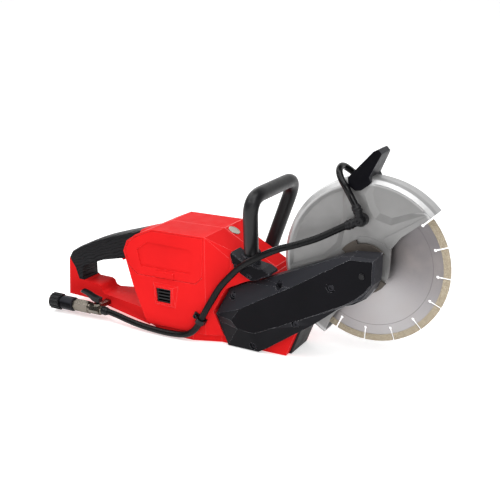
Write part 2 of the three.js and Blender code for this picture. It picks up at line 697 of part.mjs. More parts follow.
const LOOP_PATH = [[-166.6, -46.5, -2], [-151.5, -80, 95], [-151.5, 70, 95.5], [-190, 54, -28]];
const LOOP_BEND = 34;
add('front_handle', tube(roundedPath(LOOP_PATH, LOOP_BEND), HANDLE_TUBE_RADIUS, 14, 30), blackPaint);

// A round bar along one leg of the loop, between two distances from its foot.
function legBar([foot, top], radius, from, to) {
  const start = new THREE.Vector3(...foot);
  const along = new THREE.Vector3(...top).sub(start).normalize();
  const at = (distance) => start.clone().addScaledVector(along, distance).toArray();
  return bar(radius, at(from), at(to));
}

// The body with its skin moved out by the clearance, on the side given.
function bodyGrown(side) {
  return join(...[[0, 0], [0, GAP], [side * GAP, 0], [side * GAP, GAP]].map(([y, z]) =>
    bodyOuter().translate([0.55 * z, y, z])));
}

function bracketRight() {
  const foot = plate([
    [-197, 0], [-194.4, 4.9], [-180.5, -4.1], [-165, -10], [-150.6, -12.5], [-143, -13.5], [-133, -19],
    [-132, -22.5], [-150.5, -31], [-162.6, -35], [-180, -26.5], [-194, -11.5],
  ], -57.5, -28, { round: 1.2, steps: 1 });
  const leg = LOOP_PATH.slice(0, 2);
  const wells = BRACKET_SCREWS.map(([x, z]) => cross(4.9, x, z, BRACKET_FLOOR, -65, { sides: 14 }));
  const holes = BRACKET_SCREWS.map(([x, z]) => cross(2 + GAP, x, z, -60, -40, { sides: 8 }));
  return cut(join(foot, legBar(leg, HANDLE_TUBE_RADIUS + 3, -12, 9)), bodyGrown(-1),
    legBar(leg, HANDLE_TUBE_RADIUS + GAP, -1, 60), ...wells, ...holes,
    plate([[-100, -10], [-146, -31.5], [-175, -42.5], [-206, -57], [-206, -90], [-100, -90]], -100, 0));
}

function bracketLeft() {
  const foot = plate([[-208, -34], [-203, -24], [-178, -27], [-166, -40], [-169, -56], [-204, -58]],
    NOSE_FAR, NOSE_FAR + 12, { round: 1.2, steps: 1 });
  const leg = [LOOP_PATH[3], LOOP_PATH[2]];
  const wells = [[-199.5, -50], [-174, -48]].map(([x, z]) => cross(4.9, x, z, 48, 70, { sides: 14 }));
  return cut(join(foot, legBar(leg, HANDLE_TUBE_RADIUS + 3, -12, 11)), bodyGrown(1),
    legBar(leg, HANDLE_TUBE_RADIUS + GAP, -1, 60), ...wells);
}
add('handle_bracket_right', bracketRight(), blackPaint);
add('handle_bracket_left', bracketLeft(), blackPaint);

BRACKET_SCREWS.forEach(([x, z], i) => {
  add(`bracket_screw_${i + 1}`, socketScrew(x, z, BRACKET_FLOOR, { length: 8 }), zincSteel);
});

// ---- Blade guard --------------------------------------------------------------------------------

const guardOutline = [
  ...arc(GUARD_RADIUS + 4, GUARD_FRONT_ANGLE, GUARD_REAR_ANGLE, 14),
  [-50, -84], [-24, -44], [0, -36], [22, -28], [33, -10], [34, 10], [35, 32], [49, 51],
];
// Half the cross-section of the rim, outside and inside: radius and depth from the blade.
const guardRim = [[121, GUARD_HALF_WIDTH], [126, 15.5], [GUARD_RADIUS, 9]];
const guardRimInside = [[119, GUARD_HALF_WIDTH - GUARD_WALL], [123.5, 12], [GUARD_RADIUS - GUARD_RIM, 8]];
// Sunk panels in the guard's right side: each has an outer edge, and a floor that its sloping sides run down to.
const frontPanel = [
  [-6, 105.4], [0.9, 87], [9.9, 71.8], [33.5, 65.9], [66.6, 80.5], [83.5, 87], ...arc(121.4, 48.5, 87.5, 7),
];
const frontPanelFloor = [
  [4.6, 106.6], [9.1, 90.9], [16.3, 80.7], [33, 75.8], [60.5, 85.8], [76, 88.8], ...arc(119.4, 50.5, 86, 7),
];
const rearPanel = [...arc(118, 106.3, 188, 8), [-62, 4], [-38, 28], [-33, 54], [-30, 82]];
const rearPanelFloor = [...arc(113, 109.6, 185, 8), [-66, 9], [-46, 31], [-41, 54], [-38, 82]];
const frontBorder = [[24, 46], [85, 86.2], [88, 82.7], [49, 51.2], [35.2, 32.5], [30, 36]];

function sunkPanel(edge, floor) {
  const face = -GUARD_HALF_WIDTH;
  return loft([
    edge.map(([x, z]) => [x, face - 3, z]),
    edge.map(([x, z]) => [x, face, z]),
    floor.map(([x, z]) => [x, face + 2.4, z]),
  ]);
}

// A drum turned from half a rim section, `grow` larger all round.
function guardDrum(rim, grow = 0) {
  const half = rim.map(([radius, depth]) => [radius + grow, depth + grow]);
  const mirrored = half.map(([radius, depth]) => [radius, -depth]);
  const ends = rim[0][1] + grow;
  return turned([[0, -ends], ...mirrored, ...half.reverse(), [0, ends]], 0, 0, 72);
}

function guardShell() {
  const half = GUARD_HALF_WIDTH;
  const hubStep = common(ring(45, 37.5, -half - 0.9, -half + 1, 0, 0, 48), plate(guardOutline, -half - 1, 0));
  const casting = join(
    common(plate(guardOutline, -half, half), guardDrum(guardRim)),
    plate(frontBorder, -half - 1.5, -half + 2),
    hubStep);
  const farCut = cross(88, 0, 0, half - GUARD_WALL - 1, half + 1, { sides: 40 });
  return cut(casting, guardDrum(guardRimInside), farCut, cross(HUB_BOSS_RADIUS + GAP, 0, 0, -40, 0),
    sunkPanel(frontPanel, frontPanelFloor), sunkPanel(rearPanel, rearPanelFloor));
}
add('guard_shell', guardShell(), castMetal);

const GUARD_RING_RADIUS = 36;
function guardRing() {
  const plateRing = ring(GUARD_RING_RADIUS, HUB_BOSS_RADIUS + GAP, ARM_FRAME_FAR + GAP, -GUARD_HALF_WIDTH - GAP);
  const lug = plate([...arc(42, 109.6, 146, 6), ...arc(30, 146, 109.6, 4)],
    ARM_FRAME_FAR + GAP, -GUARD_HALF_WIDTH - 1.2);
  return cut(join(plateRing, lug), plate([[0, 0], ...arc(60, -30, 42, 4)], -40, 0));
}
add('guard_clamp_ring', guardRing(), zincSteel);

const guardHandleSide = [
  [-29, 115.3], [-30, 126.5], [2.7, 163.7], [9.5, 167], [14.8, 161.5], [13, 157], [0, 129.5], [3.6, 122.5],
  [0.5, 118.5], [-10.9, 110], [-18.5, 109.1],
];

// A lever moulded in one with the saddle that grips the guard's rim; it narrows towards its top.
function guardHandle() {
  const cheeks = (side) => guardHandleSide.map(([x, z]) => {
    const share = THREE.MathUtils.clamp((z - 128) / 32, 0, 1);
    return [x, side * THREE.MathUtils.lerp(24, 17.5, share), z];
  });
  return cut(loft([cheeks(-1), cheeks(1)]), guardDrum(guardRim, GAP));
}
add('guard_handle', guardHandle(), softGrip);

// ---- Water system -------------------------------------------------------------------------------

const TEE = { x: -7, z: 70 };
const hoseToClip = [
  [-425, WATER_Y, WATER_Z], [-416, -62, -128], [-400, -64, -129.5], [-380, -67, -132], [-353, -70.4, -134.5],
  [-324, -71.5, -136.5], [-294, -71.5, -137], [-268.3, -71.5, -133.9], [-256.8, -71.5, -128.3],
  [-247.4, -71.3, -118.8], [-240.9, -71, -107.2],
];
const hoseToGuard = [
  [-240.5, -71, -106.5], [-231.2, -69.8, -88.2], [-221.1, -67.6, -69.7], [-209.3, -66, -49.9], [-193.1, -66, -30.9],
  [-175, -67, -13.1], [-153.4, -69, 1.8], [-130.2, -68.2, 15.3], [-111.8, -65.7, 24.2], [-97.4, -62.5, 29],
  [-78.2, -58, 36], [-59.7, -52, 43.6], [-41.9, -45.4, 53], [-28.7, -38.6, 60], [-20, -34.5, 64],
];

function hose(points, steps) {
  const route = new THREE.CatmullRomCurve3(points.map((point) => new THREE.Vector3(...point)), false, 'centripetal');
  return tube(route, HOSE_RADIUS, 8, steps);
}
add('hose_rear', hose(hoseToClip, 18), rubber);
add('hose_front', hose(hoseToGuard, 24), rubber);

const CLIP_FACE = -68; // the face of the clip's ear, under the screw head
function hoseClip() {
  const along = new THREE.Vector3(9, 0, 17).normalize();
  const middle = new THREE.Vector3(-240.6, -71.1, -106.7);
  const point = (distance) => middle.clone().addScaledVector(along, distance).toArray();
  const saddle = bar(HOSE_RADIUS + 2.4, point(-4), point(4));
  const strap = plate([[-251.8, -95], [-256.4, -103.8], [-235.8, -114.4], [-231.2, -105.6]], CLIP_FACE, NEAR - GAP);
  const hosePath = bar(HOSE_RADIUS + 0.9, point(-20), point(20));
  return cut(join(saddle, strap), hosePath, block([-300, -200], [NEAR - GAP, -20], [-200, 0]),
    cross(2 + GAP, CLIP_SCREW.x, CLIP_SCREW.z, -80, -50, { sides: 8 }));
}
add('hose_clip', hoseClip(), blackPlastic);
add('hose_clip_screw', socketScrew(CLIP_SCREW.x, CLIP_SCREW.z, CLIP_FACE, { head: 3.4 }), zincSteel);

function waterTee() {
  return join(
    cross(9, TEE.x, TEE.z, -31, -GUARD_HALF_WIDTH - GAP),
    cut(cross(6.5, TEE.x, TEE.z, -39, -30), cross(3.2, TEE.x, TEE.z, -41, -36.5, { sides: 6 })),
    bar(6.2, [TEE.x, -32, TEE.z], [-18.8, -33.9, 64.6], { sides: 16 }),
    bar(6.2, [TEE.x, -32, TEE.z], [-10.6, -32, 83.4], { sides: 16 }));
}
add('water_tee', waterTee(), blackPlastic);

function crossoverPipe() {
  const route = new THREE.CatmullRomCurve3([
    [-11.2, -32, 85.4], [-15.5, -32, 92.5], [-22, -30.5, 102], [-30.4, -30, 115], [-38.8, -26, 124.5],
    [-44, -20.5, 132.3], [-46.6, -11, 137], [-46.3, 0, 136.6], [-41.5, 14, 128.8], [-38.5, 24, 121.5],
    [-33, 30, 113], [-26, 32, 104.5], [-20, 31, 98],
  ].map((point) => new THREE.Vector3(...point)), false, 'centripetal');
  const farSeat = join(
    bar(7, [-19, 31, 97], [-16, 30, 92], { sides: 16 }),
    cross(7, -16, 94, GUARD_HALF_WIDTH + GAP, 34, { sides: 16 }));
  return join(tube(route, PIPE_RADIUS, 10, 22), farSeat);
}
add('crossover_pipe', crossoverPipe(), blackPlastic);

function lengthwise(radius, fromX, toX, sides = ROUND) {
  return bar(radius, [fromX, WATER_Y, WATER_Z], [toX, WATER_Y, WATER_Z], { sides });
}

// The valve body stands off the handle beam on a small arm.
function valveBody() {
  return cut(
    join(
      lengthwise(9.4, -452, -434, 8),
      bar(7, [-440, WATER_Y, WATER_Z], [-440, WATER_Y, WATER_Z + 10.5], { sides: 16 }),
      slab([[-447, WATER_Y + 5], [-436, WATER_Y + 5], [-436, -32.6], [-447, -29.5]], WATER_Z + 0.5, WATER_Z + 7),
      lengthwise(7.6, -435, -430, 6),
      lengthwise(6.2, -431, -425.5, 16)),
    bar(3.4, [-440, WATER_Y, WATER_Z + 2], [-440, WATER_Y, WATER_Z + 20], { sides: 16 }));
}
add('water_valve_body', valveBody(), nickel);

function valveLever() {
  const stem = bar(3, [-440, WATER_Y, WATER_Z + 2.6], [-440, WATER_Y, WATER_Z + 18], { sides: 16 });
  const hub = bar(6.5, [-440, WATER_Y, WATER_Z + 14], [-440, WATER_Y, WATER_Z + 19]);
  const blade = plate([[-434, -113.5], [-433, -107], [-446, -104], [-458, -99], [-468, -97], [-470, -101],
    [-458, -105], [-446, -113.5]], WATER_Y - 6, WATER_Y + 6, { round: 1.5, steps: 1 });
  return join(stem, hub, blade);
}
add('valve_lever', valveLever(), blackPlastic);

add('hex_fitting', join(
  lengthwise(11.3, -482, -456, 6),
  lengthwise(8.6, -456.5, -452.3),
  lengthwise(8.6, -487, -481)), nickel);
add('coupling_barrel', cut(
  join(lengthwise(11.6, -508.3, -487.3), lengthwise(9.4, -529.5, -507)),
  lengthwise(5.6, -545, -497)), blackPaint);

function couplingCollar() {
  const ribs = Array.from({ length: 14 }, (_, i) => {
    const [y, z] = polar(12.4, 360 * i / 14);
    return bar(1.6, [-531, WATER_Y + y, WATER_Z + z], [-513.8, WATER_Y + y, WATER_Z + z], { sides: 6 });
  });
  return cut(join(lengthwise(12.4, -532, -512.8), ...ribs), lengthwise(9.4 + GAP, -550, -500));
}
add('coupling_collar', couplingCollar(), blackPlastic);

export default saw;
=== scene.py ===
# Rescue saw: looks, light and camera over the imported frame. Metres, +X forward, +Y the saw's left, +Z up.
import math

import bmesh
import bpy
from mathutils import Matrix, Vector


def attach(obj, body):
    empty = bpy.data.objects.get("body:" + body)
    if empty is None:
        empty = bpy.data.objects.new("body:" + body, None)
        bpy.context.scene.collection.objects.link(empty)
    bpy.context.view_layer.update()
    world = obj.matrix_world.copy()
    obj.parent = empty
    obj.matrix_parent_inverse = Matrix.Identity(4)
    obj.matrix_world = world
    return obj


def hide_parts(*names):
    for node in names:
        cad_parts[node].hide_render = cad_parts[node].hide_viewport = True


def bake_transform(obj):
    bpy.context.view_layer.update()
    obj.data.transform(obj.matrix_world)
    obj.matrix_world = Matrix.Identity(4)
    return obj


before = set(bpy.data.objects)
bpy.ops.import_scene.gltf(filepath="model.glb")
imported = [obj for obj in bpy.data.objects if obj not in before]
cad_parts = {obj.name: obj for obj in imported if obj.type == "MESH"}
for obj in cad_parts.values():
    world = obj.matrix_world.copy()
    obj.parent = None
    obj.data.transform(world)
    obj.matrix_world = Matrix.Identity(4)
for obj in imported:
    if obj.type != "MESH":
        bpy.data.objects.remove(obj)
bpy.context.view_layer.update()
MM = 0.001
SPINDLE = Vector((0.206, 0.0, 0.144))


def at(x, y, z):
    """A point given in millimetres from the spindle axis, in the shared frame."""
    return SPINDLE + Vector((x, y, z)) * MM


# ---- Materials -------------------------------------------------------------------------------

# Sockets of a colour Mix node, whose names repeat.
MIX_SHARE, MIX_FIRST, MIX_SECOND, MIX_RESULT = 0, 6, 7, 2
RANGE_SOCKETS = ("From Min", "From Max", "To Min", "To Max")
# Distances from the spindle axis, in metres: inner edges of the guard's rim, which is painted lighter as a
# highlight, and of the segments, each with the width it fades over, and the ring printed on the blade, with
# its half width.
GUARD_RIM, GUARD_RIM_FADE = 0.1165, 0.003
SEGMENT_START, SEGMENT_FADE = 0.1047, 0.0006
PRINTED_RING, PRINTED_HALF_WIDTH = 0.0905, 0.00022


class Finish:
    """One procedural material: a Principled shader with layers of colour, roughness and relief."""

    def __init__(self, name, **sockets):
        self.material = bpy.data.materials.new(name)
        self.material.use_nodes = True
        self.nodes = self.material.node_tree.nodes
        self.shader = self.nodes["Principled BSDF"]
        for socket, value in sockets.items():
            self.shader.inputs[socket.replace("_", " ")].default_value = value
        self.place = self.add("ShaderNodeTexCoord").outputs["Object"]
        self.normal = None

    def add(self, kind, **settings):
        node = self.nodes.new(kind)
        for name, value in settings.items():
            setattr(node, name, value)
        return node

    def link(self, out, into):
        self.material.node_tree.links.new(out, into)

    def stretched(self, stretch):
        """Object coordinates, scaled along each axis when `stretch` is given."""
        if not stretch:
            return self.place
        node = self.add("ShaderNodeMapping")
        node.inputs["Scale"].default_value = stretch
        self.link(self.place, node.inputs["Vector"])
        return node.outputs["Vector"]

    def noise(self, scale, detail, stretch=None):
        node = self.add("ShaderNodeTexNoise")
        node.inputs["Scale"].default_value = scale
        node.inputs["Detail"].default_value = detail
        self.link(self.stretched(stretch), node.inputs["Vector"])
        return node.outputs["Fac"]

    def cells(self, scale, stretch=None):
        node = self.add("ShaderNodeTexVoronoi")
        node.inputs["Scale"].default_value = scale
        self.link(self.stretched(stretch), node.inputs["Vector"])
        return node.outputs["Distance"]

    def fit(self, value, low, high, to_low=0.0, to_high=1.0):
        node = self.add("ShaderNodeMapRange")
        for socket, number in zip(RANGE_SOCKETS, (low, high, to_low, to_high)):
            node.inputs[socket].default_value = number
        self.link(value, node.inputs["Value"])
        return node.outputs["Result"]

    def maths(self, operation, first, second=0.0, third=None):
        node = self.add("ShaderNodeMath", operation=operation)
        for socket, value in zip(node.inputs, (first, second, third)):
            if isinstance(value, (int, float)):
                socket.default_value = value
            elif value is not None:
                self.link(value, socket)
        return node.outputs["Value"]

    def mix(self, share, first, second):
        node = self.add("ShaderNodeMix", data_type="RGBA")
        self.link(share, node.inputs[MIX_SHARE])
        for index, value in ((MIX_FIRST, first), (MIX_SECOND, second)):
            if isinstance(value, tuple):
                node.inputs[index].default_value = (*value, 1.0)
            else:
                self.link(value, node.inputs[index])
        return node.outputs[MIX_RESULT]

    def colour(self, socket):
        self.link(socket, self.shader.inputs["Base Color"])

    def two_tone(self, scale, detail, light, dark, low=0.35, high=0.65):
        """Colours the piece in soft patches of two shades."""
        patches = self.fit(self.noise(scale, detail), low, high)
        self.colour(self.mix(patches, light, dark))

    def tint(self, share, colour):
        """Lays a colour over the one already there, as far as `share` says."""
        base = self.shader.inputs["Base Color"].links[0].from_socket
        self.colour(self.mix(share, base, colour))

    def paint_slant_highlight(self, colour):
        """Paints the faces that slant away from the saw's flat sides lighter: a painted highlight where they
        catch the light.
        """
        facing = self.add("ShaderNodeSeparateXYZ")
        self.link(self.add("ShaderNodeTexCoord").outputs["Normal"], facing.inputs["Vector"])
        sideways = self.maths("ABSOLUTE", facing.outputs["Y"])
        self.tint(self.fit(sideways, 0.85, 0.97, 1.0, 0.0), colour)

    def roughness(self, socket):
        self.link(socket, self.shader.inputs["Roughness"])

    def worn(self, scale, detail, smooth, dull):
        """Varies the roughness between two values in patches."""
        self.roughness(self.fit(self.noise(scale, detail), 0.3, 0.7, smooth, dull))

    def relief(self, height, depth):
        node = self.add("ShaderNodeBump")
        node.inputs["Strength"].default_value = 1.0
        node.inputs["Distance"].default_value = depth
        self.link(height, node.inputs["Height"])
        if self.normal:
            self.link(self.normal, node.inputs["Normal"])
        self.normal = node.outputs["Normal"]
        self.link(self.normal, self.shader.inputs["Normal"])

    def parts(self):
        node = self.add("ShaderNodeSeparateXYZ")
        self.link(self.place, node.inputs["Vector"])
        return node.outputs["X"], node.outputs["Y"], node.outputs["Z"]

    def from_spindle(self):
        """Distance from the spindle axis, and the angle round it, in metres and radians."""
        x, _, z = self.parts()
        x = self.maths("SUBTRACT", x, SPINDLE.x)
        z = self.maths("SUBTRACT", z, SPINDLE.z)
        squares = self.maths("ADD", self.maths("MULTIPLY", x, x), self.maths("MULTIPLY", z, z))
        return self.maths("SQRT", squares), self.maths("ARCTAN2", z, x)


def moulded(name, light, dark, rough, grain, depth, specular=0.5):
    """Moulded plastic: slow shade changes, a fine spark texture and faint scuffs."""
    look = Finish(name, Specular_IOR_Level=specular)
    look.two_tone(9, 4, light, dark)
    scuffs = look.noise(60, 6, stretch=(1, 1, 5))
    look.roughness(look.fit(scuffs, 0.3, 0.75, rough - 0.06, rough + 0.09))
    look.relief(look.noise(grain, 2), depth)
    return look


def painted(name, light, dark, rough, depth, specular=0.35, metallic=0.0):
    """Powder coat over a casting, or the casting itself: a pebbled skin with a slight sheen."""
    look = Finish(name, Specular_IOR_Level=specular, Metallic=metallic)
    look.two_tone(14, 5, light, dark)
    look.worn(120, 4, rough - 0.05, rough + 0.08)
    look.relief(look.noise(900, 3), depth)
    return look


def machined(name, light, dark, rough, stretch, metallic=1.0):
    """Turned or ground metal with fine parallel tool marks."""
    look = Finish(name, Metallic=metallic)
    look.two_tone(35, 4, light, dark, low=0.3, high=0.7)
    marks = look.noise(400, 4, stretch=stretch)
    look.roughness(look.fit(marks, 0.3, 0.7, rough - 0.07, rough + 0.1))
    look.relief(marks, 0.00003)
    return look


def plating(name, light, dark, rough):
    """Plated brass: turned metal, a little uneven under the plating."""
    look = machined(name, light, dark, rough, (20, 1, 1))
    look.relief(look.noise(90, 4), 0.0002)
    return look


def rubber(name, light, dark, rough, specular):
    """Matt rubber or soft plastic tube."""
    look = Finish(name, Specular_IOR_Level=specular)
    look.two_tone(25, 5, light, dark)
    look.worn(90, 4, rough - 0.06, rough + 0.1)
    look.relief(look.noise(500, 3), 0.00008)
    return look


def striped(name, light, dark, pitch, metallic, rough):
    """Stacked sheets or belt teeth: a band every `pitch` metres across the saw."""
    look = Finish(name, Metallic=metallic)
    across = look.parts()[1]
    bands = look.maths("SINE", look.maths("MULTIPLY", across, 2 * math.pi / pitch))
    look.colour(look.mix(look.fit(bands, -0.6, 0.6), light, dark))
    look.worn(80, 4, rough - 0.05, rough + 0.1)
    look.relief(bands, 0.0002)
    return look


def soft_grip():
    """Soft black grip with wavy ripples that follow the handle's slope, their crests painted lighter and
    their troughs darker as painted highlight and shade.
    """
    ripples_up, ripples_along, waviness = 1180.0, -436.0, 15.0
    look = Finish("soft_grip", Specular_IOR_Level=0.12)
    x, _, z = look.parts()
    waver = look.maths("MULTIPLY", look.noise(55, 1.0, stretch=(1, 0.3, 1)), waviness)
    rise = look.maths("ADD", look.maths("MULTIPLY", z, ripples_up), look.maths("MULTIPLY", x, ripples_along))
    wave = look.maths("SINE", look.maths("ADD", rise, waver))
    groove = look.fit(wave, 0.35, 0.95, 1.0, 0.0)
    # Painted light: the ripple crests are coloured lighter and the troughs darker.
    look.colour(look.mix(groove, (0.003, 0.003, 0.0035), (0.010, 0.010, 0.0115)))
    look.worn(150, 4, 0.42, 0.58)
    look.relief(groove, 0.0009)
    look.relief(look.noise(1600, 2), 0.00006)
    return look


def blade_steel():
    """Ground steel core with round grinding marks, light and dark wedges of painted reflection and a printed
    ring, and gritty segments at the rim.
    """
    marks_per_metre, sector_strength, sector_turn = 9000.0, 0.35, 3.9
    look = Finish("blade_steel", Metallic=1.0)
    radius, angle = look.from_spindle()
    ground = look.add("ShaderNodeTexNoise", noise_dimensions="1D")
    ground.inputs["Scale"].default_value = 1.0
    ground.inputs["Detail"].default_value = 4.0
    look.link(look.maths("MULTIPLY", radius, marks_per_metre), ground.inputs["W"])
    marks = ground.outputs["Fac"]
    # Two light and two dark wedges painted into the colour: the painted reflection that round grinding marks
    # give.
    reflection_sectors = look.maths("SINE", look.maths("ADD", look.maths("MULTIPLY", angle, 2.0), sector_turn))
    marks_and_painted_reflection = look.maths("ADD", marks, look.maths("MULTIPLY", reflection_sectors, sector_strength))
    core = look.mix(look.fit(marks_and_painted_reflection, 0.15, 0.85), (0.17, 0.158, 0.162), (0.40, 0.385, 0.39))
    stains = look.fit(look.noise(22, 5), 0.45, 0.75, 0, 0.35)
    stained = look.mix(stains, core, (0.36, 0.32, 0.30))
    ring = look.maths("COMPARE", radius, PRINTED_RING, PRINTED_HALF_WIDTH)
    printed = look.mix(ring, stained, (0.09, 0.08, 0.08))
    grit = look.cells(1000)
    segment = look.mix(look.fit(grit, 0.15, 0.6), (0.66, 0.58, 0.44), (0.30, 0.25, 0.18))
    rim = look.fit(radius, SEGMENT_START, SEGMENT_START + SEGMENT_FADE)
    look.colour(look.mix(rim, printed, segment))
    look.link(look.fit(rim, 0, 1, 1.0, 0.35), look.shader.inputs["Metallic"])
    core_rough = look.fit(marks, 0.3, 0.7, 0.34, 0.46)
    look.roughness(look.maths("ADD", core_rough, look.maths("MULTIPLY", rim, 0.32)))
    look.relief(marks, 0.00002)
    look.relief(look.maths("MULTIPLY", grit, rim), 0.0003)
    return look


def circuit():
    """A green circuit board with golden tracks."""
    look = Finish("circuit_board")
    tracks = look.cells(220, stretch=(1, 1, 0.05))
    look.colour(look.mix(look.fit(tracks, 0.28, 0.32), (0.30, 0.19, 0.05), (0.012, 0.09, 0.03)))
    look.worn(60, 4, 0.3, 0.5)
    look.relief(tracks, 0.0002)
    return look


# Plastics and rubbers.
red = moulded("red_plastic", (0.70, 0.015, 0.016), (0.62, 0.013, 0.014), 0.34, 1500, 0.00003, specular=0.007)
black = moulded("black_plastic", (0.009, 0.009, 0.010), (0.005, 0.005, 0.006), 0.32, 1300, 0.00004,
                specular=0.22)
grip = soft_grip()
hose_rubber = rubber("hose_rubber", (0.005, 0.005, 0.0055), (0.003, 0.003, 0.0035), 0.28, 0.14)
foot_rubber = rubber("foot_rubber", (0.010, 0.010, 0.011), (0.006, 0.006, 0.007), 0.6, 0.3)
glossy = rubber("glossy_pipe", (0.005, 0.005, 0.0055), (0.003, 0.003, 0.0035), 0.14, 0.22)
belt = striped("belt_rubber", (0.016, 0.016, 0.017), (0.008, 0.008, 0.009), 0.0016, 0.0, 0.6)

# Painted and cast metal.
arm_coat = painted("black_paint", (0.0040, 0.0038, 0.0055), (0.0028, 0.0028, 0.0040), 0.34, 0.00006,
                   specular=0.065)
# The slanting faces of the black coat get a painted highlight.
arm_coat.paint_slant_highlight((0.024, 0.0245, 0.029))
loop_coat = painted("loop_paint", (0.010, 0.010, 0.011), (0.007, 0.007, 0.008), 0.36, 0.000012, specular=0.3)
cast = painted("cast_metal", (0.25, 0.248, 0.246), (0.22, 0.218, 0.216), 0.36, 0.00001, metallic=0.5)
# The guard's rim is painted lighter: a painted highlight along it.
spindle_distance, _ = cast.from_spindle()
cast.tint(cast.fit(spindle_distance, GUARD_RIM, GUARD_RIM + GUARD_RIM_FADE), (0.47, 0.47, 0.47))

# The rounded edges of the large pieces: smoother than the faces beside them and painted lighter, a painted
# highlight along the edges.
red_edge_highlight = moulded("red_edge_highlight", (0.92, 0.15, 0.15), (0.86, 0.11, 0.11), 0.22, 1500, 0.00001)
arm_edge_highlight = painted("arm_edge_highlight", (0.55, 0.55, 0.57), (0.40, 0.40, 0.42), 0.24, 0.00002, specular=0.8)
cast_edge_highlight = painted("cast_edge_highlight", (0.78, 0.78, 0.78), (0.70, 0.70, 0.70), 0.22, 0.00001, metallic=0.6)

# Bare and plated metal.
steel = machined("steel", (0.52, 0.52, 0.53), (0.40, 0.40, 0.42), 0.3, (1, 30, 1))
zinc = machined("zinc_steel", (0.20, 0.19, 0.175), (0.13, 0.125, 0.12), 0.38, (1, 20, 1))
bronze = machined("dark_bronze", (0.13, 0.11, 0.095), (0.08, 0.07, 0.06), 0.5, (1, 20, 1), metallic=0.6)
screw_black = machined("black_oxide", (0.035, 0.035, 0.04), (0.02, 0.02, 0.024), 0.36, (1, 20, 1))
nickel = plating("nickel", (0.56, 0.52, 0.45), (0.42, 0.39, 0.34), 0.2)
plated = plating("plated_brass", (0.19, 0.17, 0.145), (0.11, 0.10, 0.083), 0.24)
blade = blade_steel()
laminated = striped("laminated_steel", (0.30, 0.31, 0.33), (0.12, 0.12, 0.13), 0.001, 0.9, 0.4)
board = circuit()

LOOKS = {
    red: ["right_body_shell", "left_body_shell", "side_cover", "base_foot", "battery_release_button",
          "rear_handle_right", "rear_handle_left", "lock_off_lever"],
    black: ["side_vent_grille", "spindle_lock_button", "cooling_fan", "battery_terminal_block",
            "battery_pack", "trigger", "trigger_switch", "hose_clip", "water_tee", "valve_lever",
            "coupling_collar"],
    arm_coat: ["arm_frame", "belt_cover", "handle_bracket_right", "handle_bracket_left",
               "coupling_barrel", "guard_handle"],
    grip: ["rear_grip"],
    foot_rubber: ["front_bumper"],
    belt: ["drive_belt"],
    cast: ["guard_shell"],
    steel: ["spindle_pulley", "motor_pulley", "spindle_bearing", "spindle_shaft", "inner_flange",
            "outer_flange", "motor_shaft", "front_motor_bearing", "rear_motor_bearing"],
    zinc: ["blade_bolt"],
    bronze: ["guard_clamp_ring"],
    screw_black: ["hose_clip_screw", "bracket_screw_1", "bracket_screw_2",
                  *[f"belt_cover_screw_{i}" for i in range(1, 6)]],
    blade: ["diamond_blade"],
    plated: ["hex_fitting", "water_valve_body"],
    laminated: ["motor_stator", "motor_rotor"],
    board: ["control_board"],
}
# Painted-highlight looks for the rounded edges of faceted pieces.
EDGE_HIGHLIGHTS = {red: red_edge_highlight, arm_coat: arm_edge_highlight, cast: cast_edge_highlight}

# ---- Rounded edges ---------------------------------------------------------------------------

# Edge radius of each CAD piece, in millimetres; the others get DEFAULT_EDGE.
EDGES = {
    "right_body_shell": 1.2, "left_body_shell": 1.2, "side_cover": 0.5, "base_foot": 1.5,
    "front_bumper": 2.0, "belt_cover": 0.9, "arm_frame": 0.7, "guard_shell": 1.0, "battery_pack": 1.0,
    "rear_handle_right": 1.0, "rear_handle_left": 1.0, "rear_grip": 1.0, "guard_handle": 0.8,
    "handle_bracket_right": 0.6, "handle_bracket_left": 0.6, "side_vent_grille": 0.3,
    "coupling_collar": 0.3, "drive_belt": 0.3,
}
DEFAULT_EDGE = 0.4
# Pieces whose broad faces meet at small angles, which must stay crisp.
FACETED = ["right_body_shell", "left_body_shell", "side_cover", "base_foot", "belt_cover", "arm_frame",
           "guard_shell", "handle_bracket_right", "handle_bracket_left"]
# Pieces that keep their sharp edges.
FLAT = ["diamond_blade"]
# Edges that turn by more than this many degrees are rounded.
CREASE, FACET_CREASE = 28, 9
WELD_DISTANCE = 0.00002


def rounded(piece, radius_mm, angle):
    """Rounds a piece's hard edges and smooths its curved faces."""
    weld = piece.modifiers.new("Weld", "WELD")
    weld.merge_threshold = WELD_DISTANCE
    bevel = piece.modifiers.new("Bevel", "BEVEL")
    bevel.width = radius_mm * MM
    bevel.segments = 2
    bevel.limit_method = "ANGLE"
    bevel.angle_limit = math.radians(angle)
    shading = piece.modifiers.new("Shading", "WEIGHTED_NORMAL")
    shading.weight = 100
    for face in piece.data.polygons:
        face.use_smooth = True


def dress(node, look):
    """Gives a CAD piece its material and rounded edges, with a painted highlight on those edges if it is
    faceted.
    """
    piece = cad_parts[node]
    piece.data.materials.clear()
    piece.data.materials.append(look.material)
    if node not in FLAT:
        rounded(piece, EDGES.get(node, DEFAULT_EDGE), FACET_CREASE if node in FACETED else CREASE)
    if node in FACETED and look in EDGE_HIGHLIGHTS:
        piece.data.materials.append(EDGE_HIGHLIGHTS[look].material)
        piece.modifiers["Bevel"].material = 1


for look, nodes in LOOKS.items():
    for node in nodes:
        dress(node, look)

# ---- Shape helpers ---------------------------------------------------------------------------


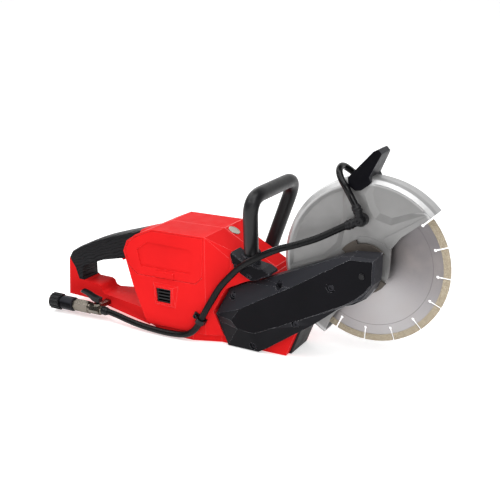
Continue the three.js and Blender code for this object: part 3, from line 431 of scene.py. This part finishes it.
def piece_from(name, vertices, faces, look, body):
    """A smooth-shaded piece that rides on `body`, if one is given."""
    mesh = bpy.data.meshes.new(name)
    mesh.from_pydata([tuple(v) for v in vertices], [], faces)
    mesh.materials.append(look.material)
    tidy = bmesh.new()
    tidy.from_mesh(mesh)
    bmesh.ops.recalc_face_normals(tidy, faces=tidy.faces)
    tidy.to_mesh(mesh)
    tidy.free()
    for face in mesh.polygons:
        face.use_smooth = True
    piece = bpy.data.objects.new(name, mesh)
    bpy.context.scene.collection.objects.link(piece)
    if body:
        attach(piece, body)
    return piece


def ring(centre, side, up, radius, sides, hexagonal=False):
    """Points round a centre, on a circle or on a hexagon of the same width across corners."""
    half_flat = math.pi / 6
    points = []
    for k in range(sides):
        angle = 2 * math.pi * k / sides
        reach = radius
        if hexagonal:
            reach *= math.cos(half_flat) / math.cos((angle + half_flat) % (2 * half_flat) - half_flat)
        points.append(centre + (side * math.cos(angle) + up * math.sin(angle)) * reach)
    return points


def skin(rings, sides):
    """The faces that join this many rings one after another, with both ends closed."""
    faces = []
    for i in range(rings - 1):
        for k in range(sides):
            a, b = i * sides + k, i * sides + (k + 1) % sides
            faces.append((a, b, b + sides, a + sides))
    faces.append(tuple(range(sides)))
    faces.append(tuple(range((rings - 1) * sides, rings * sides)))
    return faces


def smooth_route(points, per_span=8):
    """Points along a centripetal Catmull-Rom curve through `points`."""
    ends = [2 * points[0] - points[1], *points, 2 * points[-1] - points[-2]]
    route = []
    for p0, p1, p2, p3 in zip(ends, ends[1:], ends[2:], ends[3:]):
        t1 = math.sqrt((p1 - p0).length)
        t2 = t1 + math.sqrt((p2 - p1).length)
        t3 = t2 + math.sqrt((p3 - p2).length)
        for step in range(per_span):
            t = t1 + (t2 - t1) * step / per_span
            a1 = p0.lerp(p1, t / t1)
            a2 = p1.lerp(p2, (t - t1) / (t2 - t1))
            a3 = p2.lerp(p3, (t - t2) / (t3 - t2))
            b1 = a1.lerp(a2, t / t2)
            b2 = a2.lerp(a3, (t - t1) / (t3 - t1))
            route.append(b1.lerp(b2, (t - t1) / (t2 - t1)))
    route.append(points[-1].copy())
    return route


def swept(name, route, radius, look, body, sides=24):
    """A closed round piece along a route."""
    spans = [(b - a).normalized() for a, b in zip(route, route[1:])]
    tangents = [spans[0], *[(a + b).normalized() for a, b in zip(spans, spans[1:])], spans[-1]]
    side = tangents[0].orthogonal().normalized()
    vertices = []
    for point, tangent in zip(route, tangents):
        side = (side - tangent * side.dot(tangent)).normalized()
        vertices += ring(point, side, tangent.cross(side), radius, sides)
    return piece_from(name, vertices, skin(len(route), sides), look, body)


def turned(name, start, end, profile, look, body, sides=32):
    """A turned piece from start towards end; the profile lists (distance, radius), in millimetres."""
    along = (end - start).normalized()
    side = along.orthogonal().normalized()
    up = along.cross(side)
    vertices = []
    for distance, radius in profile:
        vertices += ring(start + along * distance * MM, side, up, radius * MM, sides)
    piece = piece_from(name, vertices, skin(len(profile), sides), look, body)
    rounded(piece, 0.3, angle=35)
    return piece


# ---- Water line ------------------------------------------------------------------------------

HOSE_RADIUS = 0.005
CROSSOVER_RADIUS = 0.0048
# Centre lines, in millimetres from the spindle axis.
REAR_HOSE = [
    (-425, -62, -127), (-416, -62, -128), (-400, -64, -129.5), (-380, -67, -132), (-353, -70.4, -134.5),
    (-324, -71.5, -136.5), (-294, -71.5, -137), (-268.3, -71.5, -133.9), (-256.8, -71.5, -128.3),
    (-247.4, -71.3, -118.8), (-240.9, -71, -107.2),
]
FRONT_HOSE = [
    (-240.5, -71, -106.5), (-231.2, -69.8, -88.2), (-221.1, -67.6, -69.7), (-209.3, -66, -49.9),
    (-193.1, -66, -30.9), (-175, -67, -13.1), (-153.4, -69, 1.8), (-130.2, -68.2, 15.3),
    (-111.8, -65.7, 24.2), (-97.4, -62.5, 29), (-78.2, -58, 36), (-59.7, -52, 43.6), (-41.9, -45.4, 53),
    (-28.7, -38.6, 60), (-20, -34.5, 64),
]
CROSSOVER = [
    (-11.2, -32, 85.4), (-15.5, -32, 92.5), (-22, -30.5, 102), (-30.4, -30, 115), (-38.8, -26, 124.5),
    (-44, -20.5, 132.3), (-46.6, -11, 137), (-46.3, 0, 136.6), (-41.5, 14, 128.8), (-38.5, 24, 121.5),
    (-33, 30, 113), (-26, 32, 104.5), (-20, 31, 98),
]


def route_of(points):
    return smooth_route([at(*point) for point in points])


rear_hose = swept("rear_hose_skin", route_of(REAR_HOSE), HOSE_RADIUS, hose_rubber, "chassis")
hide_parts("hose_rear")
front_hose = swept("front_hose_skin", route_of(FRONT_HOSE), HOSE_RADIUS, hose_rubber, None)
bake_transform(front_hose)
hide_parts("hose_front")

crossover = swept("crossover_tube", route_of(CROSSOVER), CROSSOVER_RADIUS, glossy, "guard")
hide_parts("crossover_pipe")

# ---- Front handle ----------------------------------------------------------------------------

LOOP_CORNERS = [(-166.6, -46.5, -2), (-151.5, -80, 95), (-151.5, 70, 95.5), (-190, 54, -28)]
LOOP_BEND = 34 * MM
LOOP_RADIUS = 0.0109
LOOP_STEP = 0.004
BEND_STEPS = 16


def loop_route():
    """The tube's centre line: straight runs joined by a bend at each of the two upper corners."""
    corners = [at(*corner) for corner in LOOP_CORNERS]
    route = [corners[0]]
    for before, corner, after in zip(corners, corners[1:], corners[2:]):
        start = corner + (before - corner).normalized() * LOOP_BEND
        finish = corner + (after - corner).normalized() * LOOP_BEND
        for i in range(BEND_STEPS + 1):
            t = i / BEND_STEPS
            route.append(start.lerp(corner, t).lerp(corner.lerp(finish, t), t))
    route.append(corners[-1])
    dense = []
    for a, b in zip(route, route[1:]):
        pieces = max(1, round((b - a).length / LOOP_STEP))
        dense += [a.lerp(b, i / pieces) for i in range(pieces)]
    return [*dense, route[-1]]


loop = swept("front_handle_tube", loop_route(), LOOP_RADIUS, loop_coat, "chassis", sides=32)
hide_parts("front_handle")

# ---- Fittings on the water line ---------------------------------------------------------------


def crimp(name, start, towards, body):
    """The moulded collar that holds a hose end."""
    profile = [(0, 5.6), (0, 6.6), (1.5, 7.1), (3.2, 7.1), (3.7, 6.4), (5.2, 6.4), (5.7, 7.1), (7.4, 7.1),
               (7.9, 6.4), (10, 6.1), (11.5, 5.4)]
    fitting = turned(name, at(*start), at(*towards), profile, black, body)


crimp("valve_hose_crimp", (-430.6, -62, -127), (-410, -62.5, -128.6), "chassis")
crimp("tee_hose_crimp", (-16.8, -33.2, 65.4), (-28.7, -38.4, 60), "guard")
crimp("tee_crossover_crimp", (-9.4, -32, 81.4), (-15.5, -32, 92.0), "guard")
crimp("far_crossover_crimp", (-18.0, 30.8, 95.0), (-26, 32, 104.8), "guard")

# ---- Fasteners on the far side ----------------------------------------------------------------

LEFT = Vector((0, 1, 0))
# How far left the far faces lie, in millimetres: body shell, its nose, bracket, and the rear handle, whose
# foot widens from its narrow end to its wide end.
SHELL_FACE, NOSE_FACE, NOSE_START = 55, 40, -200
BRACKET_FACE = 48.3
HANDLE_NARROW, HANDLE_WIDE, NARROW_END, WIDE_END = 15, 50, -462, -343
# Share of the head's radius, height in millimetres, and whether the ring belongs to the six-sided socket.
SCREW_HEAD = [(1, -0.4, False), (1, 0.5, False), (0.86, 1.3, False), (0.55, 1.7, True), (0.5, 0.4, True)]


def button_screw(name, place, radius=3.6):
    """A low domed screw with a six-sided socket, its head standing out to the left."""
    sides = 24
    side = LEFT.orthogonal().normalized()
    up = LEFT.cross(side)
    vertices = []
    for share, height, hexagonal in SCREW_HEAD:
        vertices += ring(place + LEFT * height * MM, side, up, radius * share * MM, sides, hexagonal)
    screw = piece_from(name, vertices, skin(len(SCREW_HEAD), sides), screw_black, "chassis")
    rounded(screw, 0.12, angle=30)


def shell_face(x):
    return NOSE_FACE if x > NOSE_START else SHELL_FACE


def handle_face(x):
    spread = (HANDLE_WIDE - HANDLE_NARROW) * (x - NARROW_END) / (WIDE_END - NARROW_END)
    return HANDLE_NARROW + max(0, spread)


for number, (x, z) in enumerate([(-323, 12), (-246, 12), (-330, -118), (-246, -118), (-160, -118)], 1):
    button_screw(f"left_shell_screw_{number}", at(x, shell_face(x), z))
for number, (x, z) in enumerate([(-516, -112), (-440, -122)], 1):
    button_screw(f"left_handle_screw_{number}", at(x, handle_face(x), z), radius=3.2)
for number, (x, z) in enumerate([(-199.5, -50), (-174, -48)], 1):
    button_screw(f"left_bracket_screw_{number}", at(x, BRACKET_FACE, z), radius=3.8)

# ---- Plain badge on the front slope ------------------------------------------------------------

SLOPE_OUTWARD = Vector((0.481, 0, 0.877))
BADGE_CENTRE = at(-224.6, 6.9, 17.5)
BADGE_PROFILE = [(-0.6, 9.5), (0.5, 9.5), (0.9, 9.1), (0.9, 8.0), (0.6, 7.7), (0.6, 0.5)]

badge = turned("round_badge", BADGE_CENTRE, BADGE_CENTRE + SLOPE_OUTWARD, BADGE_PROFILE, nickel, "chassis",
               sides=48)

# ---- Stage, light and camera -----------------------------------------------------------------

WHITE = (1, 1, 1, 1)
# The paper sweep, in metres: it lies flat, then curves up behind the saw and stands upright.
SWEEP_FRONT, SWEEP_BEND_START, SWEEP_BEND_RADIUS, SWEEP_TOP = -3.0, 1.6, 0.9, 4.0
SWEEP_BEND_STEPS = 10
SWEEP_HALF_WIDTH = 5
SWEEP_DROP = 0.0005
SWEEP_AZIMUTH = math.radians(28)


def sweep_profile():
    """Distance back and height of the sweep's outline."""
    profile = [(SWEEP_FRONT, 0.0), (SWEEP_BEND_START, 0.0)]
    for i in range(1, SWEEP_BEND_STEPS + 1):
        angle = math.radians(90 / SWEEP_BEND_STEPS * i)
        profile.append((SWEEP_BEND_START + SWEEP_BEND_RADIUS * math.sin(angle),
                        SWEEP_BEND_RADIUS - SWEEP_BEND_RADIUS * math.cos(angle)))
    profile.append((SWEEP_BEND_START + SWEEP_BEND_RADIUS, SWEEP_TOP))
    return profile


def backdrop():
    """White studio paper under and behind the saw, square to the camera."""
    profile = sweep_profile()
    away = Vector((-math.sin(SWEEP_AZIMUTH), math.cos(SWEEP_AZIMUTH), 0))
    across = Vector((math.cos(SWEEP_AZIMUTH), math.sin(SWEEP_AZIMUTH), 0))
    vertices = []
    for side in (-SWEEP_HALF_WIDTH, SWEEP_HALF_WIDTH):
        for distance, height in profile:
            vertices.append(away * distance + across * side + Vector((0, 0, height - SWEEP_DROP)))
    count = len(profile)
    faces = [(i, i + 1, count + i + 1, count + i) for i in range(count - 1)]
    look = Finish("studio_paper", Emission_Color=WHITE, Emission_Strength=0.5)
    look.two_tone(3, 3, (0.90, 0.90, 0.90), (0.87, 0.87, 0.87), low=0.3, high=0.7)
    look.worn(40, 3, 0.75, 0.85)
    sweep = piece_from("studio_sweep", vertices, faces, look, None)


def softbox(name, place, target, size, power):
    lamp = bpy.data.lights.new(name, "AREA")
    lamp.shape = "RECTANGLE"
    lamp.size, lamp.size_y = size
    lamp.energy = power
    holder = bpy.data.objects.new(name, lamp)
    holder.location = place
    holder.rotation_euler = (Vector(target) - Vector(place)).to_track_quat("-Z", "Y").to_euler()
    bpy.context.scene.collection.objects.link(holder)


def surroundings(strength):
    world = bpy.data.worlds.new("studio")
    world.use_nodes = True
    background = world.node_tree.nodes["Background"]
    background.inputs["Color"].default_value = WHITE
    background.inputs["Strength"].default_value = strength
    bpy.context.scene.world = world


def photo_camera(place, azimuth, elevation, focal_mm, sensor_mm):
    """The camera at the photograph's angle, with its horizon level."""
    lens = bpy.data.cameras.new("photo_camera")
    lens.sensor_width = sensor_mm
    lens.lens = focal_mm
    lens.clip_start = 0.05
    camera = bpy.data.objects.new("photo_camera", lens)
    camera.location = place
    forward = Vector((-math.sin(azimuth) * math.cos(elevation), math.cos(azimuth) * math.cos(elevation),
                      -math.sin(elevation)))
    right = Vector((math.cos(azimuth), math.sin(azimuth), 0))
    up = right.cross(forward)
    camera.rotation_euler = Matrix((right, up, -forward)).transposed().to_euler()
    bpy.context.scene.collection.objects.link(camera)
    bpy.context.scene.camera = camera


backdrop()
# Name, place, aimed at, size in metres, power in watts.
softbox("key_light", (1.15, -1.15, 1.2), (0, 0, 0.12), (0.6, 0.6), 9)
softbox("low_card", (0.75, -1.4, 0.32), (0.05, 0, 0.12), (1.3, 0.35), 3)
softbox("top_left_light", (-0.75, -0.25, 1.5), (0, 0, 0.1), (1.0, 0.9), 9)
softbox("top_right_light", (0.4, -0.45, 1.5), (0.1, 0, 0.15), (1.1, 0.8), 11)
softbox("strip_light", (-0.45, -1.15, 1.15), (0, 0, 0.12), (1.6, 0.3), 7)
softbox("back_light", (-1.2, 1.2, 1.1), (0, 0, 0.15), (0.9, 0.9), 4)
surroundings(strength=0.16)
bpy.context.scene.view_settings.view_transform = "Standard"
photo_camera((0.60867, -1.12324, 0.53217), math.radians(27.969), math.radians(17.289), focal_mm=63.27,
             sensor_mm=36.0)
